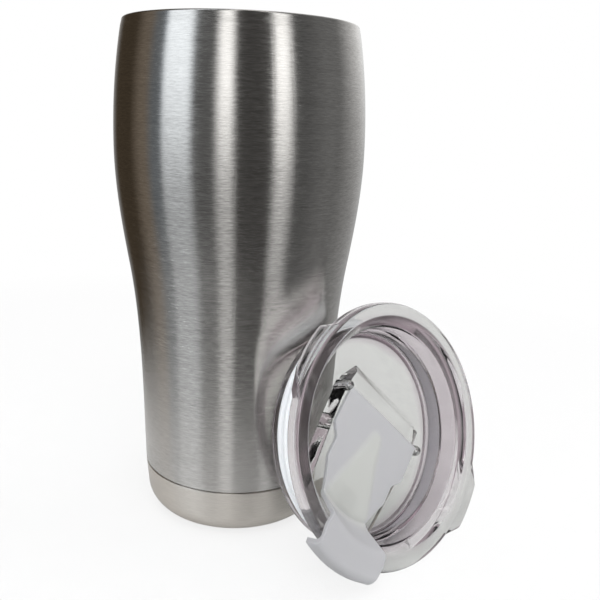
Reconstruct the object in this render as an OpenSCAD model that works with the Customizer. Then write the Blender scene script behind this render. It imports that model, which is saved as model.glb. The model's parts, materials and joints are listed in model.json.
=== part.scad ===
// Double-walled steel tumbler with a clear flip-top drinking lid that leans against it.
// Units are millimetres. The origin is the centre of the cup's base face and +Z is the cup's axis.
// The lid lies off the cup: its flange stands on the floor and its plug leans on the cup's wall.

/* [Cup] */
// Height of the cup from the floor to the lip
cup_h = 200; // [196:1:206]
// Outer radius of the cup at its belly
belly_r = 49.7; // [49:0.1:51]
// Outer radius of the cup at its lip
lip_r = 45.5; // [45.3:0.1:46]
// Outer radius of the cup just above the base cap
foot_r = 39.8; // [39.4:0.1:40.2]
// Radius of the mouth that the lid's plug fits
mouth_r = 43.9; // [43.7:0.1:44]
// Straight depth of the mouth
mouth_depth = 22; // [20:1:24]
// Wall of the outer shell
shell_wall = 0.5; // [0.4:0.05:0.7]
// Wall of the inner liner
liner_wall = 0.45; // [0.4:0.05:0.6]
// Vacuum gap between the two walls, away from the lip
vacuum_gap = 3; // [2.6:0.05:3.2]

/* [Base cap] */
// Height of the base cap
cap_h = 20.6; // [19:0.1:22]
// Radius of the rounded corner under the base cap
cap_corner_r = 11; // [10.5:0.1:11.5]
// Wall of the base cap
cap_wall = 0.6; // [0.5:0.05:0.8]
// Height of the groove between the base cap and the outer shell
seam_gap = 0.5; // [0.3:0.1:0.8]

/* [Lid] */
// Outer radius of the lid's flange
flange_r = 50.9; // [50.4:0.1:51.2]
// Thickness of the flange
flange_t = 5.2; // [4.8:0.1:5.4]
// Outer radius of the lid's plug
plug_r = 43.2; // [43:0.1:43.4]
// Depth of the plug's bottom lip below the flange's top
plug_depth = 22; // [21.8:0.1:22.4]
// Depth of the drinking bowl's floor
bowl_depth = 17.5; // [17.2:0.1:17.8]
// Radius of the drinking bowl's floor
bowl_r = 39.7; // [39:0.1:40]
// Outer radius of the gasket's fins
gasket_r = 44.3; // [44.1:0.1:44.5]
// How far each grip lug stands out from the flange
lug_out = 4.4; // [4:0.1:5]
// Width of each grip lug at its outer edge
lug_w = 17.5; // [16:0.5:20]
// How far each lug's outer face leans in towards its underside
lug_draft = 3.4; // [2:0.2:3.8]

/* [Flap] */
// Half width of the flap at its hinge
head_w = 22; // [21.5:0.1:22.2]
// Half width of the flap over the drink opening
waist_w = 18; // [17:0.5:19]
// Thickness of the flap
flap_t = 1.7; // [1.5:0.1:1.8]
// Reach of the flap's finger tab from the lid's axis
tab_reach = 55.2; // [54:0.1:55.5]
// Radius of the drink opening
drink_r = 5.5; // [5:0.1:6]

/* [Pose] */
// Height of the lid's axis above level, in degrees, as the lid leans
lid_rise = 17.1; // [16:0.1:18]
// Sideways place of the leaning lid
lid_x = 18.2; // [14:0.1:20]
// Forward place of the leaning lid's flange centre
lid_y = -75.1; // [-82:0.1:-75.1]
// Direction of the flap in the lid's plane, in degrees
flap_dir = -138; // [-142:1:-132]

/* [Hidden] */
$fn = 120;
eps = 0.01;

// Cup: places where its outline is set, as [height, radius, slope]
seam_z = cap_h + seam_gap;
OUTLINE = [
    [seam_z, foot_r + 0.04, 0.03],
    [70, 41.2, 0.052],
    [107, 44.85, 0.165],
    [153, belly_r, 0],
    [cup_h, lip_r, -0.19]
];
span_steps = 8;
lip_half = (lip_r - mouth_r) / 2;
lip_mid = mouth_r + lip_half;
weld_z = cup_h - 2;

// Liner: the mouth, the shoulder under it, and the floor
mouth_z = cup_h - mouth_depth;
wall_total = shell_wall + vacuum_gap + liner_wall;
liner_floor_z = 13;
liner_corner_r = 12;
liner_foot_z = liner_floor_z + liner_corner_r;
LINER = [
    [liner_foot_z, foot_r + 0.1 - wall_total, 0.03],
    [70, 41.2 - wall_total, 0.052],
    [107, 44.85 - wall_total, 0.165],
    [153, belly_r - wall_total, 0],
    [mouth_z, mouth_r, 0]
];

// Skirt: the part of the outer shell that the base cap covers
skirt_top_r = foot_r - cap_wall - 0.1;
skirt_r = 36.7;
skirt_corner_r = 8;
skirt_z = 2;
plate_r = 28;

// Lid
groove_r = 42.2;
groove_top = 12;
groove_h = 7;
bowl_wall_r = 41.3;
pedestal_top = 11.5;
pivot_s = -6.5;
pivot_d = 10.2;
trunnion_r = 0.8;
running_gap = 0.05;
ear_r = 2;
ear_in = head_w + 0.4;
ear_w = 2;
drink_s = 29;
flap_under = pivot_d + flap_t / 2;
flap_over = flap_under - flap_t;
flap_lift = 2.4;
ramp_r = 35;
foot_w = 13;
lid_z = flange_r * cos(lid_rise) + flange_t * sin(lid_rise) - 0.35;

// Cubic through two stations [place, value, slope], read at x
function blend(a, b, t, w) =
    a[1] * (2 * t * t * t - 3 * t * t + 1) + b[1] * (3 * t * t - 2 * t * t * t)
    + w * (a[2] * (t * t * t - 2 * t * t + t) + b[2] * (t * t * t - t * t));
function curve(s, x, i = 0) =
    i >= len(s) - 2 || x <= s[i + 1][0]
        ? blend(s[i], s[i + 1], (x - s[i][0]) / (s[i + 1][0] - s[i][0]), s[i + 1][0] - s[i][0])
        : curve(s, x, i + 1);
// Points [radius, height] up a run of stations, moved in by inset
function rise(s, inset, steps) = [
    for (i = [0 : len(s) - 2], j = [0 : steps - 1])
        let (z = s[i][0] + (s[i + 1][0] - s[i][0]) * j / steps)
        [curve(s, z) - inset, z]
];
function reversed(p) = [for (i = [len(p) - 1 : -1 : 0]) p[i]];
function kept(p, low, high) = [for (q = p) if (q[1] > low && q[1] < high) q];
// Points on an arc from angle a to angle b
function arc(cx, cy, r, a, b, n = 8) = [
    for (i = [0 : n]) [cx + r * cos(a + (b - a) * i / n), cy + r * sin(a + (b - a) * i / n)]
];

// ---- Cup ----

module outer_shell() {
    outside = rise(OUTLINE, 0, span_steps);
    inside = rise(OUTLINE, shell_wall, span_steps);
    color("silver") rotate_extrude() polygon(concat(
        [[plate_r, skirt_z]],
        arc(skirt_r - skirt_corner_r, skirt_z + skirt_corner_r, skirt_corner_r, -90, 0),
        [[skirt_top_r, seam_z - 1], [skirt_top_r, seam_z]],
        kept(outside, seam_z - eps, cup_h - lip_half),
        arc(lip_mid, cup_h - lip_half, lip_half, 0, 90, 5),
        [[lip_mid, weld_z]],
        reversed(kept(inside, seam_z + 2, weld_z - 1)),
        [[skirt_top_r - shell_wall, seam_z - 1]],
        arc(skirt_r - skirt_corner_r, skirt_z + skirt_corner_r, skirt_corner_r - shell_wall, 0, -90),
        [[plate_r, skirt_z + shell_wall]]
    ));
}

module inner_liner() {
    inside = rise(LINER, 0, span_steps);
    outside = rise(LINER, -liner_wall, span_steps);
    foot = LINER[0][1];
    color("lightgray") rotate_extrude() polygon(concat(
        [[0, liner_floor_z]],
        arc(foot - liner_corner_r, liner_foot_z, liner_corner_r, -90, 0),
        kept(inside, liner_foot_z + eps, mouth_z),
        [[mouth_r, mouth_z]],
        arc(lip_mid, cup_h - lip_half, lip_half, 180, 90, 5),
        [[lip_mid, weld_z], [mouth_r + liner_wall, weld_z - 2], [mouth_r + liner_wall, mouth_z]],
        reversed(kept(outside, liner_foot_z + eps, mouth_z)),
        arc(foot - liner_corner_r, liner_foot_z, liner_corner_r + liner_wall, 0, -90),
        [[0, liner_floor_z - liner_wall]]
    ));
}

module radiation_foil() {
    foil_gap = 0.1;
    foil_t = 0.1;
    low = 30;
    high = 172;
    color("peru") rotate_extrude() polygon(concat(
        kept(rise(LINER, -liner_wall - foil_gap - foil_t, span_steps), low, high),
        reversed(kept(rise(LINER, -liner_wall - foil_gap, span_steps), low, high))
    ));
}

// Plate that closes the vacuum space, with a dimple round the evacuation hole
module vacuum_base() {
    dimple_r = 7;
    dimple_up = 1.6;
    hole_r = 1;
    plate_t = 0.7;
    color("silver") difference() {
        rotate_extrude() polygon([
            [0, skirt_z + dimple_up], [dimple_r - 1, skirt_z + dimple_up], [dimple_r, skirt_z],
            [plate_r, skirt_z], [plate_r, skirt_z + plate_t],
            [dimple_r + 0.5, skirt_z + plate_t], [dimple_r - 0.5, skirt_z + dimple_up + plate_t],
            [0, skirt_z + dimple_up + plate_t]
        ]);
        cylinder(r = hole_r, h = 3 * dimple_up + plate_t);
    }
}

// Glass bead that seals the evacuation hole from below
module seal_bead() {
    bead_r = 3;
    bead_t = 1.3;
    top = skirt_z + 1.6;
    color("dimgray") rotate_extrude() polygon(concat(
        [[0, top]],
        [[bead_r, top]],
        [for (a = [15 : 15 : 90]) [bead_r * cos(a), top - bead_t * sin(a)]]
    ));
}

getter_x = 18;
getter_z = skirt_z + 0.7;

module getter() {
    color("gray") translate([getter_x, 0, getter_z + 0.5]) cylinder(r = 4, h = 1.6);
}

// Strip that holds the getter tablet on the vacuum base
module getter_clip() {
    strip_l = 15;
    strip_w = 4;
    strip_t = 0.5;
    color("lightgray") translate([getter_x - strip_l / 2, -strip_w / 2, getter_z]) {
        cube([strip_l, strip_w, strip_t]);
        for (x = [2.9, strip_l - 2.9 - 0.5])
            translate([x, 0, 0]) cube([0.5, strip_w, 2.3]);
    }
}

module cap_glue() {
    color("whitesmoke") difference() {
        translate([0, 0, cap_wall]) cylinder(r = 27, h = skirt_z - cap_wall);
        translate([0, 0, cap_wall - 1]) cylinder(r = 22, h = skirt_z + 1);
    }
}

cap_draft = 0.8;
CAP = [
    [cap_corner_r, foot_r - cap_draft, 0.08],
    [cap_h, foot_r, 0.08]
];

module base_cap() {
    corner_x = foot_r - cap_draft - cap_corner_r;
    foot_groove_r = 24;
    color("silver") difference() {
        rotate_extrude() polygon(concat(
            [[0, 0]],
            arc(corner_x, cap_corner_r, cap_corner_r, -90, 0),
            kept(rise(CAP, 0, span_steps), cap_corner_r + eps, cap_h),
            [[foot_r - 0.1, cap_h - 0.15], [foot_r - 0.25, cap_h], [foot_r - cap_wall, cap_h]],
            reversed(kept(rise(CAP, cap_wall, span_steps), cap_corner_r + eps, cap_h)),
            arc(corner_x, cap_corner_r, cap_corner_r - cap_wall, 0, -90),
            [[0, cap_wall]]
        ));
        // Shallow ring pressed into the underside
        rotate_extrude() polygon(arc(foot_groove_r, -0.8, 1.2, 0, 180));
    }
}

// ---- Lid, drawn with the flange's top at z = 0, its axis along Z and the flap along X ----

module leaning() {
    translate([lid_x, lid_y, lid_z])
        rotate([90 - lid_rise, 0, 0])
            rotate([0, 0, flap_dir])
                children();
}

// Flange, bowl and plug in one turned shape
module lid_turning() {
    edge = 2;
    lip_out = 0.6;
    rotate_extrude() polygon(concat(
        [[0, -bowl_depth]],
        arc(bowl_r - 2.5, 2.5 - bowl_depth, 2.5, -90, 0, 5),
        [[bowl_r + 0.1, -11.4], [bowl_wall_r - 0.5, -11], [bowl_wall_r, -4.6]],
        [[44.4, -0.7], [45.2, -0.1], [46, 0]],
        arc(flange_r - edge, -edge, edge, 90, 0, 6),
        arc(flange_r - 1.5, 1.5 - flange_t, 1.5, 0, -90, 5),
        [[plug_r + 0.4, -flange_t], [plug_r, -flange_t - 0.4], [plug_r, -groove_top]],
        [[groove_r, -groove_top], [groove_r, -groove_top - groove_h]],
        [[plug_r + lip_out, -groove_top - groove_h], [plug_r + lip_out, 0.9 - plug_depth]],
        arc(plug_r + lip_out - 0.9, 0.9 - plug_depth, 0.9, 0, -90, 4),
        [[41.3, -plug_depth], [40.8, -bowl_depth - 2.6], [40.2, -bowl_depth - 2.2]],
        [[0, -bowl_depth - 2.2]]
    ));
}

// Grip lug that stands out from the flange, along +Y
module lug() {
    taper = 9;
    lug_r = flange_r + lug_out;
    intersection() {
        translate([0, 0, 0.5 - flange_t]) cylinder(r1 = lug_r - lug_draft, r2 = lug_r, h = flange_t - 1);
        translate([0, 0, -flange_t]) linear_extrude(flange_t) polygon([
            [-lug_w / 2 - taper, flange_r - 4], [lug_w / 2 + taper, flange_r - 4],
            [lug_w / 2, lug_r], [-lug_w / 2, lug_r]
        ]);
    }
}

// Outline of the raised table, pulled in by inset, with the place and half width of its back edge
module pedestal_outline(inset, back, corner) {
    polygon([
        [back, corner], [-11.4, 23.2 - inset], [-5.2, 24.0 - inset],
        [10.6, 22.8 - inset], [34, 20 - inset], [44, 16 - inset],
        [44, inset - 16], [34, inset - 20], [10.6, inset - 22.8],
        [-5.2, inset - 24.0], [-11.4, inset - 23.2], [back, -corner]
    ]);
}

// Raised table that carries the flap: solid, with sloping sides, cut off by the bowl's wall
module pedestal() {
    intersection() {
        hull() {
            translate([0, 0, -pedestal_top - 0.02]) linear_extrude(0.02) pedestal_outline(1.1, -14, 21.8);
            translate([0, 0, -bowl_depth - 0.1]) linear_extrude(0.02) pedestal_outline(0, -19.7, 18.6);
        }
        translate([0, 0, -bowl_depth - 1]) cylinder(r = bowl_wall_r, h = bowl_depth);
    }
}

// Ear that holds one of the flap's trunnions
module ear(side) {
    translate([0, side * (ear_in + ear_w / 2), 0]) rotate([90, 0, 0]) {
        translate([pivot_s, -pivot_d, -ear_w / 2]) cylinder(r = ear_r, h = ear_w);
        translate([pivot_s - ear_r, -bowl_depth, -ear_w / 2])
            cube([2 * ear_r, bowl_depth - pivot_d, ear_w]);
    }
}

module lid_body() {
    color("gainsboro", 0.5) leaning() difference() {
        union() {
            lid_turning();
            for (side = [0, 1]) mirror([0, side, 0]) lug();
            pedestal();
            for (side = [-1, 1]) ear(side);
        }
        // Drink opening and vent
        translate([drink_s, 0, -plug_depth]) cylinder(r = drink_r, h = plug_depth);
        translate([4, 0, -plug_depth]) cylinder(r = 1.2, h = plug_depth);
        // Trunnion bore, through both ears
        translate([pivot_s, 0, -pivot_d]) rotate([90, 0, 0])
            cylinder(r = trunnion_r + running_gap, h = 2 * (ear_in + ear_w + 1), center = true);
    }
}

module lid_gasket() {
    body_r = gasket_r - 0.9;
    low = -groove_top - groove_h;
    color("aliceblue") leaning() rotate_extrude() polygon([
        [groove_r, low + 0.1], [body_r, low + 0.1], [body_r, low + 1.2],
        [gasket_r - 0.1, low + 1.5], [gasket_r, low + 2], [body_r, low + 2.8],
        [body_r, low + 4.2], [gasket_r - 0.1, low + 4.5], [gasket_r, low + 5], [body_r, low + 5.8],
        [body_r, -groove_top - 0.1], [groove_r, -groove_top - 0.1]
    ]);
}

// Section of the flap along its middle: flat over the table, up the bowl's wall, over the
// flange and down. The table part is straight and the rest is turned about the lid's axis.
module flap_section(high) {
    crest_r = 45.4;
    tab_drop = 4;
    polygon(concat(
        [[0, -flap_under], [ramp_r, -flap_under], [ramp_r + 1.6, 0.9 - flap_under]],
        [[crest_r - 1, flap_lift - 0.7], [crest_r + 0.4, flap_lift]],
        arc(tab_reach - flap_t - 2, flap_lift - 2, 2, 90, 0, 5),
        [[tab_reach - flap_t, -tab_drop], [tab_reach, -tab_drop]],
        arc(tab_reach - 3.2, flap_lift + high - 3.2, 3.2, 0, 90, 6),
        [[crest_r - 0.4, flap_lift + high], [crest_r - 2, flap_lift + high - 0.8]],
        [[ramp_r + 0.6, high + 0.9 - flap_under], [ramp_r - 1.2, high - flap_under]],
        [[0, high - flap_under]]
    ));
}

module flap_plan() {
    tab_w = 16.5;
    tip_w = 15;
    half = [
        [pivot_s, head_w], [9, head_w], [13.2, waist_w], [25.5, waist_w],
        [ramp_r - 0.5, foot_w], [ramp_r + 2, foot_w],
        [43, tab_w - 1], [48.5, tab_w], [tab_reach + 1, tip_w]
    ];
    polygon(concat(half, [for (p = reversed(half)) [p[0], -p[1]]]));
}

// Wedge pressed up on the flap, rounded at its tip and widening to the ramp
module flap_relief() {
    tip_r = 3;
    relief = 0.5;
    translate([0, 0, -flap_over - 0.1]) linear_extrude(relief + 0.1) {
        translate([tip_r, 0]) circle(r = tip_r);
        polygon([
            [3.6, 2.9], [13, 5.4], [22, 9.4], [31, 12.4],
            [31, -12.4], [22, -9.4], [13, -5.4], [3.6, -2.9]
        ]);
    }
}

module flap() {
    color("white", 0.8) leaning() difference() {
        union() {
            intersection() {
                rotate_extrude() flap_section(flap_t);
                translate([0, 0, -20]) linear_extrude(40) flap_plan();
            }
            flap_relief();
            translate([pivot_s, 0, -pivot_d]) rotate([90, 0, 0]) {
                cylinder(r = flap_t / 2, h = 2 * head_w, center = true);
                cylinder(r = trunnion_r, h = 2 * (ear_in + ear_w - 0.1), center = true);
            }
        }
        // Socket for the stopper's stem
        translate([drink_s, 0, -flap_under - 1]) cylinder(r = 2, h = 1 + flap_t);
    }
}

// Soft plug under the flap that closes the drink opening
module flap_stopper() {
    depth = 3.4;
    color("white", 0.9) leaning() translate([drink_s, 0, -flap_under]) rotate_extrude() polygon(concat(
        [[0, -depth]],
        [[drink_r - 2, -depth], [drink_r - 1.2, -depth + 0.7], [drink_r - 0.3, -0.4]],
        [[drink_r - 0.3, 0], [2, 0], [2, flap_t - 0.2], [0, flap_t - 0.2]]
    ));
}

outer_shell();
inner_liner();
radiation_foil();
vacuum_base();
seal_bead();
getter();
getter_clip();
cap_glue();
base_cap();
lid_body();
lid_gasket();
flap();
flap_stopper();
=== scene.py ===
"""Looks of the insulated tumbler and its clear flip-top lid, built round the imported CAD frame."""
import json
import math

import bmesh
import bpy
from mathutils import Matrix, Vector


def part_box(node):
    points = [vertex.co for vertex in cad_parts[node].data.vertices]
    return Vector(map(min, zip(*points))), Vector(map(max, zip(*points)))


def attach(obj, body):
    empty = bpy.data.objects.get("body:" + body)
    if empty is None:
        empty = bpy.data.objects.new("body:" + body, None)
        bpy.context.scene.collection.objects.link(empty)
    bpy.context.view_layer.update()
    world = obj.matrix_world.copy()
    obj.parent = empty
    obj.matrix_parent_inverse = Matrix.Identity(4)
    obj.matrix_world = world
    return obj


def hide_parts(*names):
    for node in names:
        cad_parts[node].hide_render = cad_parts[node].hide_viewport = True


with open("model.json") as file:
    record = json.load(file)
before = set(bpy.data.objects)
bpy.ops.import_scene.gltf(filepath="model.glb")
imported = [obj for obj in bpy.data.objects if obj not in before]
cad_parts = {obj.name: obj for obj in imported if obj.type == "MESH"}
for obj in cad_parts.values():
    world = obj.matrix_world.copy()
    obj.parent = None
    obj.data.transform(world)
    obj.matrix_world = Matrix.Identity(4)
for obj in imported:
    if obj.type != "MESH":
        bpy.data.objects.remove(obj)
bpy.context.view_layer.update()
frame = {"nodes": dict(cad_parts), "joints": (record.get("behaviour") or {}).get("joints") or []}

MM = 0.001
JOINT = {j["name"]: j for j in frame["joints"]}


# ---------------------------------------------------------------- driving sizes, in metres

cup_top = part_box("outer_shell")[1].z
belly_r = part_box("outer_shell")[1].x
cap_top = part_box("base_cap")[1].z
foot_r = 39.8 * MM
seam_gap = 0.5 * MM
mouth_r = 43.9 * MM
lip_r = 45.5 * MM
mouth_depth = 22 * MM
shell_wall = 0.5 * MM
liner_wall = 0.45 * MM
vacuum_gap = 3 * MM
cap_wall = 0.6 * MM
cap_corner = 11 * MM
cap_draft = 0.8 * MM
liner_floor = 13 * MM

# The lid's own frame: X towards the flap's tab, Y along the hinge, Z out of the flange's top
lid_up = Vector(JOINT["lid_lift"]["axis"]).normalized()
hinge_way = -Vector(JOINT["flap_hinge"]["axis"]).normalized()
tab_way = hinge_way.cross(lid_up).normalized()
pivot_s, pivot_d = -6.5 * MM, 10.2 * MM
lid_centre = Vector(JOINT["flap_hinge"]["pos_m"]) - tab_way * pivot_s + lid_up * pivot_d
LID = Matrix.Translation(lid_centre) @ Matrix((tab_way, hinge_way, lid_up)).transposed().to_4x4()

flange_r, flange_t = 50.9 * MM, 5.2 * MM
plug_r, plug_depth, plug_lip = 43.2 * MM, 22 * MM, 0.6 * MM
bowl_r, bowl_depth = 39.7 * MM, 17.5 * MM
bowl_wall_r = 41.3 * MM
groove_r, groove_top, groove_h = 42.2 * MM, 12 * MM, 7 * MM
gasket_r = 44.3 * MM
lug_out, lug_w, lug_taper, lug_draft = 4.4 * MM, 17.5 * MM, 9 * MM, 3.4 * MM
table_top = 11.5 * MM
flap_t = 1.7 * MM
flap_under = pivot_d + flap_t / 2
flap_over = flap_under - flap_t
flap_lift = 2.4 * MM
ramp_r, tab_reach, tab_drop = 35 * MM, 55.2 * MM, 4 * MM
head_w, waist_w, foot_w, tab_w, tip_w = 22 * MM, 18 * MM, 13 * MM, 16.5 * MM, 15 * MM
drink_s, drink_r = 29 * MM, 5.5 * MM
vent_s, vent_r = 4 * MM, 1.2 * MM
stem_r = 2 * MM
ear_in, ear_w, ear_r = head_w + 0.4 * MM, 2 * MM, 2 * MM
trunnion_r, running_gap = 0.8 * MM, 0.05 * MM


# ---------------------------------------------------------------- outlines

def arc(cx, cy, r, a, b, n=8):
    """Points on an arc from angle a to angle b, in degrees."""
    turn = [math.radians(a + (b - a) * i / n) for i in range(n + 1)]
    return [(cx + r * math.cos(t), cy + r * math.sin(t)) for t in turn]


def circle(radius, count):
    """Points round a circle about the origin."""
    turn = [2 * math.pi * i / count for i in range(count)]
    return [(radius * math.cos(t), radius * math.sin(t)) for t in turn]


def blend(a, b, x):
    """Cubic between two stations (place, value, slope), read at x."""
    w = b[0] - a[0]
    t = (x - a[0]) / w
    return (a[1] * (2 * t**3 - 3 * t**2 + 1) + b[1] * (3 * t**2 - 2 * t**3)
            + w * (a[2] * (t**3 - 2 * t**2 + t) + b[2] * (t**3 - t**2)))


def rise(stations, inset=0.0, steps=16):
    """Points (radius, height) up a run of stations, moved in by inset, without the last."""
    points = []
    for a, b in zip(stations, stations[1:]):
        for j in range(steps):
            z = a[0] + (b[0] - a[0]) * j / steps
            points.append((blend(a, b, z) - inset, z))
    return points


def kept(points, low, high):
    """The points whose height lies between two limits."""
    return [p for p in points if low < p[1] < high]


# Stations up the cup's sides: (height, radius, slope)
seam_z = cap_top + seam_gap
BODY = [(70 * MM, 41.2 * MM, 0.052), (107 * MM, 44.85 * MM, 0.165), (153 * MM, belly_r, 0)]
OUTLINE = [(seam_z, foot_r + 0.04 * MM, 0.03), *BODY, (cup_top, lip_r, -0.19)]
wall_total = shell_wall + vacuum_gap + liner_wall
liner_corner = 12 * MM
liner_foot = liner_floor + liner_corner
mouth_z = cup_top - mouth_depth
LINER = [
    (liner_foot, foot_r + 0.1 * MM - wall_total, 0.03),
    *[(z, r - wall_total, slope) for z, r, slope in BODY],
    (mouth_z, mouth_r, 0),
]
lip_half = (lip_r - mouth_r) / 2
lip_mid = mouth_r + lip_half
weld_z = cup_top - 2 * MM


# ---------------------------------------------------------------- mesh helpers

def to_object(name, bm, body, smooth_under=32.0, matrix=None):
    """Turns a bmesh into a piece with smooth faces and sharp creases, riding on a CAD body."""
    if matrix is not None:
        bm.transform(matrix)
    bmesh.ops.recalc_face_normals(bm, faces=bm.faces)
    mesh = bpy.data.meshes.new(name)
    bm.to_mesh(mesh)
    bm.free()
    mesh.shade_smooth()
    mesh.set_sharp_from_angle(angle=math.radians(smooth_under))
    piece = bpy.data.objects.new(name, mesh)
    bpy.context.scene.collection.objects.link(piece)
    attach(piece, body)
    return piece


def lathe_mesh(outline, segments=192):
    """Closed solid of revolution about Z from a closed outline of (radius, height)."""
    bm = bmesh.new()
    rings = []
    for r, z in outline:
        if r < 1e-9:
            rings.append([bm.verts.new((0, 0, z))])
            continue
        rings.append([bm.verts.new((x, y, z)) for x, y in circle(r, segments)])
    for low, high in zip(rings, rings[1:] + rings[:1]):
        if len(low) == 1 and len(high) == 1:
            continue
        for i in range(segments):
            k = (i + 1) % segments
            corners = [low[i % len(low)], low[k % len(low)], high[k % len(high)], high[i % len(high)]]
            corners = list(dict.fromkeys(corners))
            bm.faces.new(corners)
    return bm


def slab(outline, low, high):
    """Straight prism between two heights."""
    bm = bmesh.new()
    bottom = [bm.verts.new((x, y, low)) for x, y in outline]
    top = [bm.verts.new((x, y, high)) for x, y in outline]
    bm.faces.new(bottom)
    bm.faces.new(top)
    for i in range(len(outline)):
        k = (i + 1) % len(outline)
        bm.faces.new((bottom[i], bottom[k], top[k], top[i]))
    bmesh.ops.recalc_face_normals(bm, faces=bm.faces)
    return bm


def loft(low_outline, low, high_outline, high):
    """Prism whose outline changes from its bottom to its top."""
    bm = slab(low_outline, low, high)
    for v, (x, y) in zip(list(bm.verts)[len(low_outline):], high_outline):
        v.co.x, v.co.y = x, y
    return bm


def rounded(bm, width, segments=3, angle=25.0):
    """Rounds the edges that are sharper than the angle."""
    edges = [e for e in bm.edges if e.calc_face_angle(0) > math.radians(angle)]
    bmesh.ops.bevel(bm, geom=edges, offset=width, segments=segments, profile=0.5,
                    affect="EDGES", clamp_overlap=True)
    return bm


def scratch_object(bm):
    """Short-lived object that a boolean can work on."""
    mesh = bpy.data.meshes.new("scratch")
    bm.to_mesh(mesh)
    bm.free()
    thing = bpy.data.objects.new("scratch", mesh)
    bpy.context.scene.collection.objects.link(thing)
    return thing


def combined(base, others, operation):
    """Exact boolean of a bmesh with a list of bmeshes, as a new bmesh."""
    target = scratch_object(base)
    tools = [scratch_object(bm) for bm in others]
    for tool in tools:
        cut = target.modifiers.new("cut", "BOOLEAN")
        cut.operation, cut.solver, cut.object = operation, "EXACT", tool
    bpy.context.view_layer.update()
    solid = target.evaluated_get(bpy.context.evaluated_depsgraph_get())
    bm = bmesh.new()
    bm.from_mesh(solid.to_mesh())
    solid.to_mesh_clear()
    for thing in [target, *tools]:
        mesh = thing.data
        bpy.data.objects.remove(thing)
        bpy.data.meshes.remove(mesh)
    bmesh.ops.remove_doubles(bm, verts=bm.verts, dist=0.002 * MM)
    return bm


# ---------------------------------------------------------------- cup pieces

def outer_shell():
    """Outer wall: rounded skirt and plate inside the cap, seam, waisted body and half of the lip."""
    skirt_top_r = foot_r - cap_wall - 0.1 * MM
    skirt_r, skirt_corner, skirt_z, plate_r = 36.7 * MM, 8 * MM, 2 * MM, 28 * MM
    outside = kept(rise(OUTLINE), seam_z + 0.2 * MM, cup_top - lip_half)
    inside = kept(rise(OUTLINE, shell_wall, 6), seam_z + 2 * MM, weld_z - 1 * MM)
    corner = (skirt_r - skirt_corner, skirt_z + skirt_corner)
    edge = 0.18 * MM
    outline = (
        [(plate_r, skirt_z)] + arc(*corner, skirt_corner, -90, 0)
        + [(skirt_top_r, seam_z - 1 * MM), (skirt_top_r, seam_z)]
        + [(foot_r - edge, seam_z)] + arc(foot_r + 0.04 * MM - edge, seam_z + edge, edge, -60, 0, 3)
        + outside + arc(lip_mid, cup_top - lip_half, lip_half, 0, 90, 8)
        + [(lip_mid, weld_z)] + inside[::-1]
        + [(skirt_top_r - shell_wall, seam_z - 1 * MM)]
        + arc(*corner, skirt_corner - shell_wall, 0, -90)
        + [(plate_r, skirt_z + shell_wall)]
    )
    return to_object("shell_brushed", lathe_mesh(outline, 256), "tumbler")


def inner_liner():
    """Inner cup: round-cornered floor, body, straight mouth and the other half of the lip."""
    inside = kept(rise(LINER, steps=12), liner_foot, mouth_z)
    outside = kept(rise(LINER, -liner_wall, 6), liner_foot, mouth_z)
    corner = (LINER[0][1] - liner_corner, liner_foot)
    outline = (
        [(0, liner_floor)] + arc(*corner, liner_corner, -90, 0, 12) + inside + [(mouth_r, mouth_z)]
        + arc(lip_mid, cup_top - lip_half, lip_half, 180, 90, 8)
        + [(lip_mid, weld_z), (mouth_r + liner_wall, weld_z - 2 * MM), (mouth_r + liner_wall, mouth_z)]
        + outside[::-1] + arc(*corner, liner_corner + liner_wall, 0, -90, 12)
        + [(0, liner_floor - liner_wall)]
    )
    return to_object("liner_steel", lathe_mesh(outline, 192), "tumbler")


def base_cap():
    """Satin cap over the foot, with a ring pressed into its underside."""
    cap_side = [(cap_corner, foot_r - cap_draft, 0.08), (cap_top, foot_r, 0.08)]
    corner = (foot_r - cap_draft - cap_corner, cap_corner)
    ring_r, ring_in, ring_out = 24 * MM, 1.0 * MM, 0.4 * MM
    pressed = [(ring_r - ring_in, 0), (ring_r - 0.5 * MM, ring_out), (ring_r + 0.5 * MM, ring_out),
               (ring_r + ring_in, 0)]
    outside = kept(rise(cap_side, steps=6), cap_corner, cap_top - 0.4 * MM)
    inside = kept(rise(cap_side, cap_wall, 4), cap_corner, cap_top)
    edge = 0.3 * MM
    outline = (
        [(0, 0)] + pressed + arc(*corner, cap_corner, -90, 0, 12) + outside
        + arc(foot_r - edge, cap_top - edge, edge, 0, 90, 4) + [(foot_r - cap_wall, cap_top)]
        + inside[::-1] + arc(*corner, cap_corner - cap_wall, 0, -90, 12) + [(0, cap_wall)]
    )
    return to_object("cap_satin", lathe_mesh(outline, 256), "tumbler")


# ---------------------------------------------------------------- lid pieces

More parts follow.
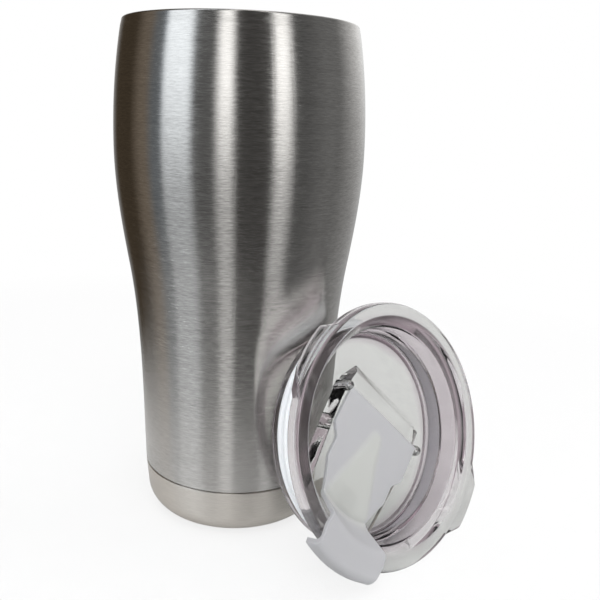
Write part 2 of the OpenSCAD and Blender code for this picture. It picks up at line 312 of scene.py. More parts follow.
def lid_outline():
    """Section of the lid's turned body: bowl, flange, groove and plug."""
    edge = 2 * MM
    floor_fillet = 2.5 * MM
    low = -flange_t
    return (
        [(0, -bowl_depth)]
        + arc(bowl_r - floor_fillet, floor_fillet - bowl_depth, floor_fillet, -90, 0, 8)
        + [(bowl_r + 0.1 * MM, -11.4 * MM), (bowl_r + 0.25 * MM, -11.1 * MM)]
        + [(bowl_wall_r - 0.5 * MM, -11 * MM), (bowl_wall_r - 0.35 * MM, -10.8 * MM)]
        + [(bowl_wall_r, -4.9 * MM), (bowl_wall_r + 0.2 * MM, -4.3 * MM)]
        + [(44.1 * MM, -1.1 * MM), (44.6 * MM, -0.6 * MM), (45.2 * MM, -0.2 * MM), (46 * MM, 0)]
        + arc(flange_r - edge, -edge, edge, 90, 0, 12)
        + arc(flange_r - 1.5 * MM, 1.5 * MM + low, 1.5 * MM, 0, -90, 8)
        + [(plug_r + 0.4 * MM, low), (plug_r + 0.12 * MM, low - 0.12 * MM), (plug_r, low - 0.4 * MM)]
        + [(plug_r, -groove_top), (groove_r, -groove_top), (groove_r, -groove_top - groove_h)]
        + [(plug_r + plug_lip, -groove_top - groove_h), (plug_r + plug_lip, 0.9 * MM - plug_depth)]
        + arc(plug_r + plug_lip - 0.9 * MM, 0.9 * MM - plug_depth, 0.9 * MM, 0, -90, 6)
        + [(41.3 * MM, -plug_depth), (40.8 * MM, -bowl_depth - 2.6 * MM)]
        + [(40.2 * MM, -bowl_depth - 2.2 * MM), (0, -bowl_depth - 2.2 * MM)]
    )


def lug_outline(side, r):
    """Lug's outline out to the radius r; its flanks converge outwards."""
    inner, outer, count = flange_r - 4 * MM, flange_r + lug_out, 14
    x = lug_w / 2
    for _ in range(8):
        y = math.sqrt(r * r - x * x)
        x = lug_w / 2 + lug_taper * (outer - y) / (outer - inner)
    half = math.asin(x / r)
    rim = [(r * math.sin(half - 2 * half * i / count), r * math.cos(half - 2 * half * i / count))
           for i in range(count + 1)]
    outline = [(-lug_w / 2 - lug_taper, inner), (lug_w / 2 + lug_taper, inner)] + rim
    return [(x, side * y) for x, y in outline]


def lug_solid(side):
    """Grip lug whose outer face leans in towards its underside."""
    outer = flange_r + lug_out
    bm = loft(lug_outline(side, outer - lug_draft), 0.5 * MM - flange_t, lug_outline(side, outer), -0.5 * MM)
    return rounded(bm, 0.9 * MM, 4, 30)


def table_outline(inset, back, corner):
    """Outline of the table, from its back edge to its blunt nose under the flap's ramp."""
    half = [(back, corner), (-11.4 * MM, 23.2 * MM - inset), (-5.2 * MM, 24 * MM - inset),
            (10.6 * MM, 22.8 * MM - inset), (34 * MM, 20 * MM - inset), (44 * MM, 16 * MM - inset)]
    return half + [(x, -y) for x, y in reversed(half)]


def table_solid():
    """Raised table that carries the flap, cut to stay inside the bowl's wall."""
    top, bottom, reach = -table_top, -bowl_depth - 0.1 * MM, bowl_wall_r - 0.2 * MM
    body = loft(table_outline(0, -19.7 * MM, 18.6 * MM), bottom,
                table_outline(1.1 * MM, -14 * MM, 21.8 * MM), top)
    rounded(body, 0.4 * MM, 3, 20)
    limit = slab(circle(reach, 192), bottom - 2 * MM, top + 2 * MM)
    return combined(body, [limit], "INTERSECT")


def ear_solid(side):
    """Ear with a round head that holds one trunnion."""
    outline = ([(pivot_s - ear_r, -bowl_depth), (pivot_s + ear_r, -bowl_depth)]
               + arc(pivot_s, -pivot_d, ear_r, 0, 180, 20))
    bm = bmesh.new()
    rings = [[bm.verts.new((x, side * y, z)) for x, z in outline] for y in (ear_in, ear_in + ear_w)]
    bm.faces.new(rings[0])
    bm.faces.new(rings[1])
    for i in range(len(outline)):
        k = (i + 1) % len(outline)
        bm.faces.new((rings[0][i], rings[0][k], rings[1][k], rings[1][i]))
    bmesh.ops.recalc_face_normals(bm, faces=bm.faces)
    return rounded(bm, 0.3 * MM, 2, 40)


def rod(radius, low, high, segments=48):
    """Upright rod about Z."""
    return slab(circle(radius, segments), low, high)


def moved(bm, x, z=0.0):
    """Moves a part within the lid's frame."""
    bmesh.ops.translate(bm, verts=bm.verts, vec=(x, 0, z))
    return bm


def on_hinge(rod_bm):
    """Lays a rod along the hinge's axis."""
    bmesh.ops.rotate(rod_bm, verts=rod_bm.verts, matrix=Matrix.Rotation(math.pi / 2, 3, "X"))
    return moved(rod_bm, pivot_s, -pivot_d)


def lid_body():
    """Clear moulding: turned flange, bowl and plug, with lugs, table and ears, and its holes cut."""
    solid = combined(
        lathe_mesh(lid_outline(), 320),
        [lug_solid(1), lug_solid(-1), table_solid(), ear_solid(1), ear_solid(-1)],
        "UNION",
    )
    drink = moved(rod(drink_r, -plug_depth, 0), drink_s)
    vent = moved(rod(vent_r, -plug_depth, 0, 24), vent_s)
    bore_end = ear_in + ear_w + 1 * MM
    bore = on_hinge(rod(trunnion_r + running_gap, -bore_end, bore_end, 32))
    solid = combined(solid, [drink, vent, bore], "DIFFERENCE")
    return to_object("lid_clear", solid, "lid", 28, LID)


def lid_gasket():
    """Ring in the plug's groove, with two fins that stand out from its body."""
    body_r, inner_r = gasket_r - 0.9 * MM, groove_r + 0.05 * MM
    low, high = -groove_top - groove_h + 0.1 * MM, -groove_top - 0.1 * MM
    fin_pitch, fin_root_low, fin_root_high = 3.0 * MM, 1.1 * MM, 2.7 * MM
    fin_tip = [(-0.1 * MM, 1.4 * MM), (0, 1.65 * MM), (0, 1.9 * MM), (-0.25 * MM, 2.3 * MM)]
    outline = [(inner_r, low), (body_r, low)]
    for foot in (low, low + fin_pitch):
        outline.append((body_r, foot + fin_root_low))
        outline += [(gasket_r + out, foot + up) for out, up in fin_tip]
        outline.append((body_r, foot + fin_root_high))
    outline += [(body_r, high), (inner_r, high)]
    return to_object("gasket_silicone", lathe_mesh(outline, 320), "lid", 40, LID)


# ---------------------------------------------------------------- flap pieces

def along(stations, x):
    """Straight-line reading of (place, value) stations."""
    for (a, va), (b, vb) in zip(stations, stations[1:]):
        if x <= b:
            return va + (vb - va) * max(x - a, 0) / (b - a)
    return stations[-1][1]


def smooth(x):
    """Eased step from 0 to 1."""
    x = min(max(x, 0.0), 1.0)
    return x * x * (3 - 2 * x)


# Half widths along the flap and along its raised wedge: (reach, half width)
HALF_WIDTH = [
    (pivot_s, head_w), (9 * MM, head_w), (13.2 * MM, waist_w), (25.5 * MM, waist_w),
    (ramp_r - 0.5 * MM, foot_w), (ramp_r + 2 * MM, foot_w), (43 * MM, tab_w - 1 * MM),
    (48.5 * MM, tab_w), (tab_reach + 1 * MM, tip_w),
]
RELIEF_WIDTH = [(0, 0), (1 * MM, 2.2 * MM), (3 * MM, 3 * MM), (13 * MM, 5.4 * MM), (22 * MM, 9.4 * MM),
                (31 * MM, 12.4 * MM), (35 * MM, 13.4 * MM)]


def flap_path():
    """Middle line of the flap's under and upper faces: pairs of (reach, height)."""
    crest = 45.4 * MM
    under, upper = -flap_under, -flap_over
    pairs = []
    flat_end, steps = ramp_r - 0.6 * MM, 34
    for i in range(steps + 1):
        reach = pivot_s + (flat_end - pivot_s) * i / steps
        pairs.append(((reach, under), (reach, upper)))
    pairs += [((ramp_r + 0.4 * MM, under + 0.12 * MM), (ramp_r - 0.1 * MM, upper + 0.35 * MM)),
              ((ramp_r + 1.6 * MM, under + 0.9 * MM), (ramp_r + 0.7 * MM, upper + 1.0 * MM))]
    low, low_up = pairs[-1]
    high, high_up = (crest - 1.2 * MM, flap_lift - 0.9 * MM), (crest - 2.2 * MM, flap_lift + flap_t - 1 * MM)
    for i in range(1, 7):
        k = i / 6
        pairs.append((tuple(a + (b - a) * k for a, b in zip(low, high)),
                      tuple(a + (b - a) * k for a, b in zip(low_up, high_up))))
    pairs += [((crest - 0.4 * MM, flap_lift - 0.2 * MM), (crest - 1.2 * MM, flap_lift + flap_t - 0.3 * MM)),
              ((crest + 0.5 * MM, flap_lift), (crest, flap_lift + flap_t))]
    inner, outer = 2 * MM, 3.2 * MM
    start = tab_reach - outer
    for i in range(1, 5):
        x = crest + 0.5 * MM + (start - crest - 0.5 * MM) * i / 5
        pairs.append(((min(x, tab_reach - flap_t - inner), flap_lift), (x, flap_lift + flap_t)))
    curl_in = arc(tab_reach - flap_t - inner, flap_lift - inner, inner, 90, 0, 8)
    curl_out = arc(start, flap_lift + flap_t - outer, outer, 90, 0, 8)
    pairs += list(zip(curl_in, curl_out))
    for i in range(1, 4):
        drop = (flap_lift - inner) + (-tab_drop - flap_lift + inner) * i / 3
        drop_out = (flap_lift + flap_t - outer) + (-tab_drop - flap_lift - flap_t + outer) * i / 3
        pairs.append(((tab_reach - flap_t, drop), (tab_reach, drop_out)))
    return pairs


def flap_point(reach, height, across, upper):
    """Point of the flap: straight over the table, turned about the lid's axis on the tab."""
    t = along(HALF_WIDTH, reach) * across
    turned = smooth((reach - 16 * MM) / (ramp_r - 18 * MM))
    s = reach + turned * (math.sqrt(max(reach * reach - t * t, 0)) - reach)
    z = height
    if upper and reach < ramp_r - 0.6 * MM:
        inside = along(RELIEF_WIDTH, s) - abs(t)
        z += 0.5 * MM * smooth(inside / (0.9 * MM) + 0.5) * smooth(s / (1.2 * MM))
    return (s, t, z)


def flap():
    """Flap as two sheets joined at their rims, with a barrel and trunnions at its hinge."""
    bm = bmesh.new()
    pairs = flap_path()
    across = [-1 + 2 * j / 48 for j in range(49)]
    under = [[bm.verts.new(flap_point(*low, a, False)) for a in across] for low, _ in pairs]
    upper = [[bm.verts.new(flap_point(*high, a, True)) for a in across] for _, high in pairs]
    for sheet in (under, upper):
        for row, after in zip(sheet, sheet[1:]):
            for j in range(len(across) - 1):
                bm.faces.new((row[j], row[j + 1], after[j + 1], after[j]))
    for i in range(len(pairs) - 1):
        for j in (0, -1):
            bm.faces.new((under[i][j], under[i + 1][j], upper[i + 1][j], upper[i][j]))
    for i in (0, -1):
        for j in range(len(across) - 1):
            bm.faces.new((under[i][j], under[i][j + 1], upper[i][j + 1], upper[i][j]))
    bmesh.ops.recalc_face_normals(bm, faces=bm.faces)
    rounded(bm, 0.3 * MM, 3, 50)
    trunnion_end = ear_in + ear_w - 0.1 * MM
    barrel = on_hinge(rounded(rod(flap_t / 2, -head_w, head_w), 0.25 * MM, 2, 40))
    trunnion = on_hinge(rounded(rod(trunnion_r, -trunnion_end, trunnion_end, 32), 0.2 * MM, 2, 40))
    solid = combined(bm, [barrel, trunnion], "UNION")
    # The stopper's stem sits in a blind socket, covered by the raised wedge
    socket = moved(rod(stem_r, -flap_under - 1 * MM, -flap_over, 32), drink_s)
    solid = combined(solid, [socket], "DIFFERENCE")
    return to_object("flap_frosted", solid, "flap", 35, LID)


def flap_stopper():
    """Soft plug that tapers into the drink opening, with a stem in the flap's socket."""
    depth, bevel = 3.4 * MM, 0.05 * MM
    stem_top = flap_t - 0.05 * MM
    outline = ([(0, -depth), (drink_r - 2.4 * MM, -depth)]
               + arc(drink_r - 2.4 * MM, -depth + 0.9 * MM, 0.9 * MM, -80, -20, 4)
               + [(drink_r - 1.2 * MM, -depth + 1.2 * MM), (drink_r - 0.35 * MM, -0.5 * MM)]
               + [(drink_r - 0.3 * MM, -0.3 * MM), (drink_r - 0.35 * MM, 0)]
               + [(stem_r, 0), (stem_r, stem_top - bevel), (stem_r - bevel, stem_top), (0, stem_top)])
    place = LID @ Matrix.Translation((drink_s, 0, -flap_under))
    return to_object("stopper_silicone", lathe_mesh(outline, 64), "flap", 40, place)


# ---------------------------------------------------------------- materials

class Look:
    """Node material with a Principled surface and short ways to add nodes to it."""

    def __init__(self, name):
        self.material = bpy.data.materials.new(name)
        self.material.use_nodes = True
        self.tree = self.material.node_tree
        self.surface = self.tree.nodes["Principled BSDF"]

    def node(self, kind, **settings):
        """New shader node of a kind, with its settings."""
        made = self.tree.nodes.new("ShaderNode" + kind)
        for key, value in settings.items():
            setattr(made, key, value)
        return made

    def link(self, start, end):
        self.tree.links.new(start, end)

    def set(self, **values):
        """Plain values for the surface's inputs."""
        for key, value in values.items():
            self.surface.inputs[key.replace("_", " ")].default_value = value

    def place(self, scale=(1, 1, 1)):
        """Object coordinates, in metres, scaled along each axis."""
        where = self.node("TexCoord")
        mapping = self.node("Mapping")
        mapping.inputs["Scale"].default_value = scale
        self.link(where.outputs["Object"], mapping.inputs["Vector"])
        return mapping.outputs["Vector"]

    def noise(self, scale, detail=3.0, roughness=0.5, stretch=(1, 1, 1)):
        """Noise in object coordinates, with its features a metre and the stretch of each axis."""
        made = self.node("TexNoise")
        made.inputs["Scale"].default_value = scale
        made.inputs["Detail"].default_value = detail
        made.inputs["Roughness"].default_value = roughness
        self.link(self.place(stretch), made.inputs["Vector"])
        return made.outputs["Fac"]

    def span(self, value, low, high, to_low, to_high):
        """Maps one range of a value onto another, and holds it at the ends."""
        made = self.node("MapRange")
        for key, number in (("From Min", low), ("From Max", high), ("To Min", to_low), ("To Max", to_high)):
            made.inputs[key].default_value = number
        self.link(value, made.inputs["Value"])
        return made.outputs["Result"]

    def math(self, operation, a, b):
        """Result of a named operation on two numbers or links."""
        made = self.node("Math", operation=operation)
        for socket, value in zip(made.inputs, (a, b)):
            if isinstance(value, (int, float)):
                socket.default_value = value
            else:
                self.link(value, socket)
        return made.outputs[0]

    def colours(self, value, stops):
        """Colour ramp with its stops at (value, colour)."""
        made = self.node("ValToRGB")
        ramp = made.color_ramp
        while len(ramp.elements) < len(stops):
            ramp.elements.new(0.5)
        for element, (at, colour) in zip(ramp.elements, stops):
            element.position = at
            element.color = (*colour, 1)
        self.link(value, made.inputs["Fac"])
        return made.outputs["Color"]

    def bump(self, height, distance, strength=1.0, under=None):
        """Bump of a true height in metres, on top of another bump if one is given."""
        made = self.node("Bump")
        made.inputs["Distance"].default_value = distance
        made.inputs["Strength"].default_value = strength
        self.link(height, made.inputs["Height"])
        if under is not None:
            self.link(under, made.inputs["Normal"])
        return made.outputs["Normal"]

    def see_through(self, factor, colour=(1, 1, 1, 1)):
        """Mixes a transparent shader with the surface, by a factor."""
        clear = self.node("BsdfTransparent")
        clear.inputs["Color"].default_value = colour
        mix = self.node("MixShader")
        self.link(factor, mix.inputs["Fac"])
        self.link(self.surface.outputs[0], mix.inputs[1])
        self.link(clear.outputs[0], mix.inputs[2])
        self.link(mix.outputs[0], self.tree.nodes["Material Output"].inputs["Surface"])


def brushed_steel(name, dark, light, rough, anisotropy, grain, worn):
    """Steel brushed round the cup's axis: fine rings of grain, with a few longer scratches."""
    look = Look(name)
    fine = look.noise(1, 4, 0.7, (300, 300, 2900))
    broad = look.noise(1, 2, 0.5, (30, 30, 900))
    cloud = look.noise(34, 3, 0.55)
    mixed = look.math("ADD", look.math("MULTIPLY", fine, 0.82), look.math("MULTIPLY", broad, 0.18))
    look.link(look.colours(mixed, [(0.3, dark), (0.7, light)]), look.surface.inputs["Base Color"])
    streaky = look.span(mixed, 0.3, 0.7, -0.05, 0.05)
    cloudy = look.span(cloud, 0.3, 0.7, -worn, worn)
    look.link(look.math("ADD", look.math("ADD", streaky, cloudy), rough), look.surface.inputs["Roughness"])
    tangent = look.node("Tangent", direction_type="RADIAL", axis="Z")
    look.link(tangent.outputs["Tangent"], look.surface.inputs["Tangent"])
    look.set(Metallic=1.0, Anisotropic=anisotropy, Anisotropic_Rotation=0.25)
    scratch = look.noise(1, 1, 0.4, (260, 200, 30))
    line = look.span(scratch, 0.66, 0.72, 0, 1)
    normal = look.bump(mixed, grain)
    normal = look.bump(line, -0.004 * MM, 0.6, normal)
    look.link(normal, look.surface.inputs["Normal"])
    return look.material


def lid_place(look):
    """Coordinates in the lid's own frame: X to the tab, Y along the hinge."""
    where = look.node("TexCoord")
    mapping = look.node("Mapping", vector_type="TEXTURE")
    mapping.inputs["Location"].default_value = LID.translation
    mapping.inputs["Rotation"].default_value = LID.to_euler()
    look.link(where.outputs["Object"], mapping.inputs["Vector"])
    split = look.node("SeparateXYZ")
    look.link(mapping.outputs["Vector"], split.inputs[0])
    return split.outputs["X"], split.outputs["Y"]


def clear_plastic(name):
    """Clear plastic with flow waves and rub marks, and painted shade that greys the bowl's wall to mauve;
    light reaches behind.
    """
    look = Look(name)
    wave = look.noise(60, 2, 0.5)
    rub = look.noise(900, 4, 0.7, (1, 1, 0.4))
    look.link(look.span(rub, 0.45, 0.75, 0.0, 0.09), look.surface.inputs["Roughness"])
    reach, across = lid_place(look)
    squares = look.math("ADD", look.math("MULTIPLY", reach, reach), look.math("MULTIPLY", across, across))
    radius = look.math("ADD", look.math("POWER", squares, 0.5), look.span(wave, 0.3, 0.7, -1 * MM, 1 * MM))
    # Painted shade: the base colour darkens to mauve-grey over the bowl's wall, 39 to 43 mm out, for the
    # dark refractions seen there; flow waves wobble its edges.
    look.link(look.colours(radius, [
        (36 * MM, (0.62, 0.625, 0.61)), (39 * MM, (0.47, 0.43, 0.45)), (43 * MM, (0.50, 0.46, 0.48)),
        (46 * MM, (0.61, 0.61, 0.60)),
    ]), look.surface.inputs["Base Color"])
    look.set(IOR=1.55, Transmission_Weight=1.0)
    look.link(look.bump(wave, 0.08 * MM), look.surface.inputs["Normal"])
    path = look.node("LightPath")
    light_ray = look.math("MAXIMUM", path.outputs["Is Shadow Ray"], path.outputs["Is Diffuse Ray"])
    look.see_through(light_ray, (0.93, 0.935, 0.93, 1))
    return look.material


def frosted_plastic(name):
    """Moulded frosted plastic with random mottle, and painted light that makes the raised wedge paler and
    greener than the greyer rest.
    """
    look = Look(name)
    mottle = look.noise(140, 4, 0.6)
    spark = look.noise(5200, 2, 0.5)
    reach, across = lid_place(look)
    # Painted light: the raised wedge is painted paler and greener, and the rest of the flap greyer, for
    # light coming through it; random mottle is mixed in.
    wedge_half = look.span(reach, 0, 31 * MM, 2.0 * MM, 12.4 * MM)
    inside = look.math("SUBTRACT", wedge_half, look.math("ABSOLUTE", across, 0))
    wedge = look.math("MULTIPLY", look.span(inside, -1.6 * MM, 1.6 * MM, 0, 1),
                      look.span(reach, -0.5 * MM, 1.5 * MM, 0, 1))
    wedge = look.math("MULTIPLY", wedge, look.span(reach, 33 * MM, 37 * MM, 1, 0))
    mottle_and_painted_light = look.math("ADD", look.math("MULTIPLY", wedge, 0.8), look.math("MULTIPLY", mottle, 0.2))
    look.link(look.colours(mottle_and_painted_light, [(0.06, (0.56, 0.56, 0.58)), (0.94, (0.62, 0.63, 0.605))]),
              look.surface.inputs["Base Color"])
    look.link(look.span(mottle, 0.3, 0.7, 0.34, 0.46), look.surface.inputs["Roughness"])
    look.set(IOR=1.5, Transmission_Weight=0.45)
    look.link(look.bump(spark, 0.01 * MM), look.surface.inputs["Normal"])
    return look.material


def silicone(name, low, high, through):
    """Soft silicone between two tones: mottled, finely pitted, and letting a share of light through."""
    look = Look(name)
    mottle = look.noise(260, 3, 0.55)
    look.link(look.colours(mottle, [(0.3, low), (0.7, high)]), look.surface.inputs["Base Color"])
    look.link(look.span(mottle, 0.3, 0.7, 0.36, 0.5), look.surface.inputs["Roughness"])
    look.set(IOR=1.41, Transmission_Weight=through, Subsurface_Weight=0.2, Subsurface_Scale=0.002)
    look.surface.inputs["Subsurface Radius"].default_value = (1.0, 1.0, 1.0)
    look.link(look.bump(look.noise(1800, 3, 0.6), 0.015 * MM), look.surface.inputs["Normal"])
    return look.material


def plain_metal(name, dark, light, rough, crinkle):
    """Unpolished hidden metal: mottled, with fine crinkles."""
    look = Look(name)
    mottle = look.noise(180, 5, 0.6)
    look.link(look.colours(mottle, [(0.3, dark), (0.7, light)]), look.surface.inputs["Base Color"])
    look.link(look.span(mottle, 0.3, 0.7, rough - 0.08, rough + 0.1), look.surface.inputs["Roughness"])
    look.set(Metallic=1.0)
    look.link(look.bump(look.noise(700, 3, 0.6), crinkle), look.surface.inputs["Normal"])
    return look.material


def dull_solid(name, dark, light, rough):
    """Dull hidden matter, such as glass solder or glue: mottled and bumpy."""
    look = Look(name)
    mottle = look.noise(400, 5, 0.65)
    look.link(look.colours(mottle, [(0.3, dark), (0.7, light)]), look.surface.inputs["Base Color"])
    look.link(look.span(mottle, 0.3, 0.7, rough - 0.08, rough + 0.08), look.surface.inputs["Roughness"])
    look.link(look.bump(mottle, 0.05 * MM), look.surface.inputs["Normal"])
    return look.material


def dress(piece, material, slot, *nodes):
    """Gives a piece its material and hides the CAD nodes that it stands for; slot is not used."""
    piece.data.materials.clear()
    piece.data.materials.append(material)
    if nodes:
        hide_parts(*nodes)


STEEL_DARK, STEEL_LIGHT = (0.45, 0.437, 0.42), (0.76, 0.745, 0.718)

dress(outer_shell(), brushed_steel("steel_shell", STEEL_DARK, STEEL_LIGHT, 0.21, 0.9, 0.012 * MM, 0.03),
      "outer_shell", "outer_shell")
dress(inner_liner(), brushed_steel("steel_liner", (0.55, 0.54, 0.53), (0.68, 0.67, 0.66), 0.26, 0.6,
                                   0.004 * MM, 0.03), "inner_liner", "inner_liner")
dress(base_cap(), brushed_steel("steel_cap", (0.69, 0.65, 0.60), (0.81, 0.77, 0.715), 0.36, 0.5,
                                0.004 * MM, 0.04), "base_cap", "base_cap")
dress(lid_body(), clear_plastic("plastic_clear"), "lid_body", "lid_body")
dress(lid_gasket(), silicone("silicone_gasket", (0.89, 0.92, 0.95), (0.94, 0.96, 0.985), 0.35),
      "lid_gasket", "lid_gasket")
dress(flap(), frosted_plastic("plastic_frosted"), "flap", "flap")
dress(flap_stopper(), silicone("silicone_stopper", (0.58, 0.59, 0.57), (0.64, 0.65, 0.62), 0.3),
      "flap_stopper", "flap_stopper")

HIDDEN_LOOKS = {
    "radiation_foil": plain_metal("foil_copper", (0.72, 0.40, 0.26), (0.85, 0.50, 0.34), 0.25, 0.05 * MM),
    "vacuum_base": plain_metal("steel_plate", (0.45, 0.44, 0.43), (0.60, 0.59, 0.57), 0.4, 0.02 * MM),
    "getter_clip": plain_metal("steel_strip", (0.52, 0.51, 0.50), (0.64, 0.63, 0.62), 0.35, 0.01 * MM),
    "getter": dull_solid("getter_tablet", (0.16, 0.16, 0.17), (0.30, 0.30, 0.31), 0.75),
    "seal_bead": dull_solid("solder_glass", (0.05, 0.05, 0.06), (0.12, 0.12, 0.14), 0.2),
    "cap_glue": dull_solid("cured_glue", (0.70, 0.68, 0.60), (0.84, 0.82, 0.76), 0.5),
}
for node_name, material in HIDDEN_LOOKS.items():
    shown = frame["nodes"][node_name]
    shown.data.materials.clear()
    shown.data.materials.append(material)


# ---------------------------------------------------------------- floor, light and camera

floor_r, floor_drop = 6.0, 0.02 * MM
# In the steel the floor glows only near the cup's foot, and fades into the room's panels
floor_glow_centre = (-30 * MM, 30 * MM, 0)
floor_glow_span = (50 * MM, 230 * MM)
floor_glow_loss = (0.38, 1.0)
# Rays that the clear lid bends far aside miss it, and meet the room's streaks instead
floor_bent_span = (0.33, 0.7)
floor_bent_loss = 0.9
# To the camera it is bleached, and wholly white further off
floor_bleach_span = (0.08, 0.45)
floor_bleach = (0.78, 1.0)


def floor():
    """Pale lit floor, the same everywhere to the eye."""
    bm = bmesh.new()
    bm.faces.new([bm.verts.new((x, y, -floor_drop)) for x, y in circle(floor_r, 96)])
    mesh = bpy.data.meshes.new("floor")
    bm.to_mesh(mesh)
    bm.free()
    piece = bpy.data.objects.new("floor", mesh)
    bpy.context.scene.collection.objects.link(piece)
    look = Look("floor_paper")
    look.link(look.colours(look.noise(90, 3), [(0.3, (0.72, 0.72, 0.72)), (0.7, (0.76, 0.76, 0.76))]),
              look.surface.inputs["Base Color"])
    look.set(Roughness=0.9, Specular_IOR_Level=0.1)
    away = look.node("VectorMath", operation="DISTANCE")
    look.link(look.place(), away.inputs[0])
    away.inputs[1].default_value = floor_glow_centre
    unlit = look.span(away.outputs["Value"], *floor_glow_span, *floor_glow_loss)
    path = look.node("LightPath")
    mirrored = look.math("SUBTRACT", path.outputs["Is Glossy Ray"], path.outputs["Is Transmission Ray"])
    faded = look.math("MULTIPLY", look.math("MAXIMUM", mirrored, 0.0), unlit)
    bleach = look.span(away.outputs["Value"], *floor_bleach_span, *floor_bleach)
    bleached = look.math("MULTIPLY", path.outputs["Is Camera Ray"], bleach)
    bent = look.math("MULTIPLY", path.outputs["Is Transmission Ray"],
                     look.span(away.outputs["Value"], *floor_bent_span, 0.0, floor_bent_loss))
    look.see_through(look.math("ADD", look.math("ADD", faded, bleached), bent))
    piece.data.materials.append(look.material)


# Room round the cup, as stretches by compass direction in degrees from +X, with soft edges
# between them: (start, end, brightness, warmth)
ROOM = [
    (-180, -176, 0.82, -0.05),  # left window, past due west
    (-169, -153, 0.12, 0.0),    # gap
    (-145, -138, 0.92, 0.0),    # middle window
    (-131, -102, 0.065, 0.03),  # dark wall
    (-95, -87, 0.95, 0.0),      # right window
    (-78, -68, 0.11, 0.0),      # gap
    (-45, -28, 0.18, 0.0),      # dim wall
    (20, 50, 0.55, 0.0),        # pale wall
    (88, 118, 0.045, 0.33),     # brown wall
    (133, 140, 0.16, 0.22),     # brown board
    (147, 157, 0.17, -0.09),    # slate gap
    (161, 180, 0.82, -0.05),    # left window
]
# Height of the look: (sine of the elevation, share of the bright panels)
PANEL_RISE = [
    (-1.0, 0.40), (-0.30, 0.46), (-0.05, 0.85), (0.20, 2.5),
    (0.40, 2.6), (0.60, 0.8), (0.8, 1.8), (1.0, 2.8),
]
# Room seen through the clear lid, by compass direction: (direction, brightness)
STREAKS = [
    (-180, 0.30), (-155, 0.95), (-130, 0.12), (-100, 0.95), (-75, 0.20), (-45, 0.85), (-20, 0.10),
    (10, 0.90), (40, 0.20), (75, 0.95), (105, 0.12), (135, 0.85), (160, 0.15), (180, 0.30),
]
streak_tint = (0.80, 0.69, 0.745)
# The room's brightness over panel_floor grows with height; the gaps below it don't
panel_floor = 0.2
panel_gain = 4.0
# Studio lamps: side of the square and the point they face, in metres
lamp_size = 0.9
lamp_target = (0, 0, 0.08)


def value_ramp(tree, value, low, high, stops):
    """Colour ramp over a range of values, with its stops given in that range."""
    scaled = tree.nodes.new("ShaderNodeMapRange")
    scaled.inputs["From Min"].default_value = low
    scaled.inputs["From Max"].default_value = high
    tree.links.new(value, scaled.inputs["Value"])
    ramp = tree.nodes.new("ShaderNodeValToRGB")
    elements = ramp.color_ramp.elements
    while len(elements) < len(stops):
        elements.new(0.5)
    for element, (at, colour) in zip(elements, stops):
        element.position = (at - low) / (high - low)
        element.color = (*colour, 1)
    tree.links.new(scaled.outputs[0], ramp.inputs["Fac"])
    return ramp.outputs["Color"]


def bearings(tree):
    """Compass direction and height of a ray that leaves the scene."""
    where = tree.nodes.new("ShaderNodeTexCoord")
    split = tree.nodes.new("ShaderNodeSeparateXYZ")
    turn = tree.nodes.new("ShaderNodeMath")
    turn.operation = "ARCTAN2"
    tree.links.new(where.outputs["Generated"], split.inputs[0])
    tree.links.new(split.outputs["Y"], turn.inputs[0])
    tree.links.new(split.outputs["X"], turn.inputs[1])
    return turn.outputs[0], split.outputs["Z"]


def streaks(tree):
    """Dim mauve room with dark gaps, which the clear lid bends into streaks."""
    compass, _ = bearings(tree)
    stops = [(math.radians(d), [b * tint for tint in streak_tint]) for d, b in STREAKS]
    return value_ramp(tree, compass, -math.pi, math.pi, stops)


def vector_math(tree, operation, first, other):
    """Vector operation on a link and a number, or on two links."""
    step = tree.nodes.new("ShaderNodeVectorMath")
    step.operation = operation
    tree.links.new(first, step.inputs[0])
    if operation == "SCALE":
        step.inputs["Scale"].default_value = other
    elif isinstance(other, float):
        step.inputs[1].default_value = (other, other, other)
    else:
        tree.links.new(other, step.inputs[1])
    return step.outputs["Vector"]


def panels(tree):
    """Bright panels and dark gaps round the cup: the panels grow brighter with height."""
    compass, height = bearings(tree)
    round_stops = [(math.radians(edge), (b * (1 + w), b, b * (1 - w)))
                   for start, end, b, w in ROOM for edge in (start, end)]
    bands = value_ramp(tree, compass, -math.pi, math.pi, round_stops)
    rise_stops = [(z, [share / panel_gain] * 3) for z, share in PANEL_RISE]
    share = value_ramp(tree, height, -1, 1, rise_stops)
    over = vector_math(tree, "SUBTRACT", bands, panel_floor)
    over = vector_math(tree, "MAXIMUM", over, 0.0)
    bright = vector_math(tree, "MULTIPLY", over, share)
    bright = vector_math(tree, "SCALE", bright, panel_gain)
    gaps = vector_math(tree, "MINIMUM", bands, panel_floor)
    return vector_math(tree, "ADD", gaps, bright)


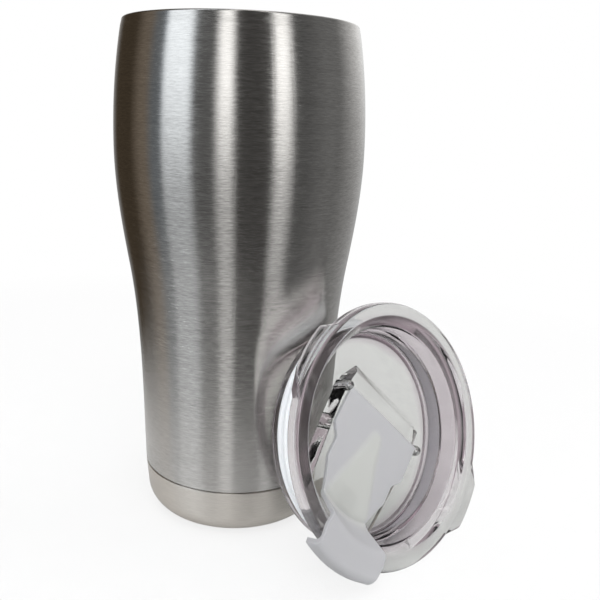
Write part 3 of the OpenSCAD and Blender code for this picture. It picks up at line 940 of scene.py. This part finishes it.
def room():
    """World: panels for gloss, dim streaks through clear parts, even light for everything else."""
    world = bpy.data.worlds.new("room")
    world.use_nodes = True
    bpy.context.scene.world = world
    tree = world.node_tree
    tree.nodes.clear()
    path = tree.nodes.new("ShaderNodeLightPath")
    chosen = None
    looks = (
        ("", panels(tree), 1.0),
        ("Is Transmission Ray", streaks(tree), 1.0),
        ("Is Diffuse Ray", (1.0, 1.0, 1.0, 1), 1.12),
        ("Is Camera Ray", (1, 1, 1, 1), 1.0),
    )
    for ray, colour, strength in looks:
        seen = tree.nodes.new("ShaderNodeBackground")
        seen.inputs["Strength"].default_value = strength
        if isinstance(colour, tuple):
            seen.inputs["Color"].default_value = colour
        else:
            tree.links.new(colour, seen.inputs["Color"])
        if chosen is None:
            chosen = seen.outputs[0]
            continue
        pick = tree.nodes.new("ShaderNodeMixShader")
        tree.links.new(path.outputs[ray], pick.inputs["Fac"])
        tree.links.new(chosen, pick.inputs[1])
        tree.links.new(seen.outputs[0], pick.inputs[2])
        chosen = pick.outputs[0]
    out = tree.nodes.new("ShaderNodeOutputWorld")
    tree.links.new(chosen, out.inputs["Surface"])


def soft_light(name, place, power):
    """Large square lamp aimed at the cup's middle, unseen in the steel."""
    light = bpy.data.lights.new(name, "AREA")
    light.energy, light.size = power, lamp_size
    thing = bpy.data.objects.new(name, light)
    thing.location = place
    thing.rotation_euler = (Vector(lamp_target) - Vector(place)).to_track_quat("-Z", "Y").to_euler()
    thing.visible_glossy = False
    bpy.context.scene.collection.objects.link(thing)


def camera():
    """Camera at the photograph's place: its axes are found from three angles about the cup."""
    turned, yaw, pitch, roll = (math.radians(a) for a in (-38.07, 4.93, -14.62, 1.89))
    away, height = 301.4 * MM, 168.9 * MM
    heading = turned - yaw
    forward = Vector((-math.sin(heading) * math.cos(pitch), math.cos(heading) * math.cos(pitch),
                      math.sin(pitch)))
    place = Vector((away * math.sin(turned), -away * math.cos(turned), height))
    lens = bpy.data.cameras.new("camera")
    lens.lens, lens.sensor_width = 43.85, 36
    lens.clip_start = 0.01
    thing = bpy.data.objects.new("camera", lens)
    level = forward.to_track_quat("-Z", "Y").to_matrix().to_4x4()
    thing.matrix_world = Matrix.Translation(place) @ level @ Matrix.Rotation(roll, 4, "Z")
    bpy.context.scene.collection.objects.link(thing)
    bpy.context.scene.camera = thing


floor()
room()
soft_light("key", (-0.5, -0.7, 1.1), 9)
soft_light("fill", (0.8, -0.3, 0.9), 4)
camera()
bpy.context.scene.view_settings.view_transform = "Standard"
